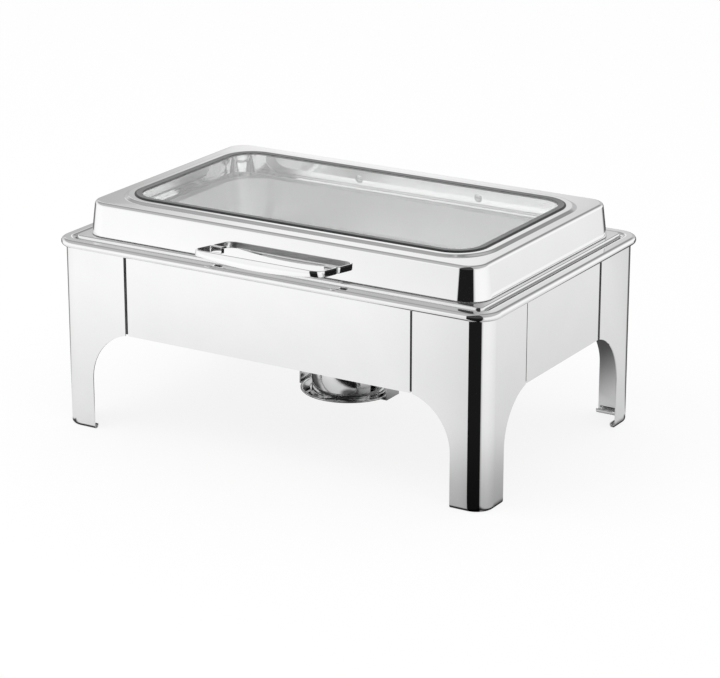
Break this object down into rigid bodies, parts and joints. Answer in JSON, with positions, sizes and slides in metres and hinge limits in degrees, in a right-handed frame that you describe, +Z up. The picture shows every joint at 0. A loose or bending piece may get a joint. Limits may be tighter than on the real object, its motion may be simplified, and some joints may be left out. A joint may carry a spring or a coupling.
{
  "type": "chafing dish",
  "caption": "Rectangular steel chafing dish on arched corner legs, with a rear-hinged glass-window lid, a loop handle, food and water pans, and a fuel burner below.",
  "frame": {"origin": "middle of the footprint at floor level, under the middle of the dish", "axes": "+X along the long side to the right, +Y from the front (handle) to the rear (hinge), +Z up"},
  "size_m": [0.613, 0.4221, 0.29],
  "materials": {
    "polished_steel": "mirror polished stainless steel",
    "pan_steel": "satin stainless steel",
    "burner_steel": "bright stainless steel",
    "fitting_steel": "bright stainless steel fittings",
    "strap_steel": "dark heat-stained steel",
    "gasket_rubber": "matte silicone rubber",
    "glass": "clear tempered glass"
  },
  "bodies": {
    "stand": {"leg_front_left": "polished_steel", "leg_front_right": "polished_steel", "leg_rear_left": "polished_steel", "leg_rear_right": "polished_steel", "front_panel": "polished_steel", "rear_panel": "polished_steel", "left_panel": "polished_steel", "right_panel": "polished_steel", "seam_straps": "strap_steel", "top_rim": "polished_steel", "water_pan": "pan_steel", "burner_strap": "burner_steel", "strap_rivets": "burner_steel", "burner_saucer": "burner_steel", "saucer_rivet": "burner_steel", "hinge_stand_leaf": "fitting_steel", "hinge_pin": "fitting_steel", "hinge_stand_bolts": "fitting_steel", "hinge_stand_nuts": "fitting_steel"},
    "lid": {"lid_wall_left": "polished_steel", "lid_wall_right": "polished_steel", "lid_crown": "polished_steel", "glass_gasket": "gasket_rubber", "glass_panel": "glass", "handle": "polished_steel", "handle_screws": "fitting_steel", "hinge_lid_leaf": "fitting_steel", "hinge_lid_bolts": "fitting_steel", "hinge_lid_nuts": "fitting_steel"},
    "food_pan": {"food_pan": "pan_steel"},
    "fuel_cup": {"fuel_cup": "burner_steel", "cover_pivot": "burner_steel"},
    "fuel_cover": {"fuel_cover": "burner_steel"}
  },
  "joints": [
    {"name": "lid_hinge", "type": "hinge", "parent": "stand", "child": "lid", "pos_m": [0, 0.204, 0.2475], "axis": [-1, 0, 0], "range_deg": [0, 100]},
    {"name": "food_pan_lift", "type": "slide", "parent": "stand", "child": "food_pan", "axis": [0, 0, 1], "range_m": [0, 0.03]},
    {"name": "fuel_cup_lift", "type": "slide", "parent": "stand", "child": "fuel_cup", "axis": [0, 0, 1], "range_m": [0, 0.035]},
    {"name": "fuel_cover_swivel", "type": "hinge", "parent": "fuel_cup", "child": "fuel_cover", "pos_m": [0, -0.0525, 0], "axis": [0, 0, 1], "range_deg": [0, 135]}
  ]
}
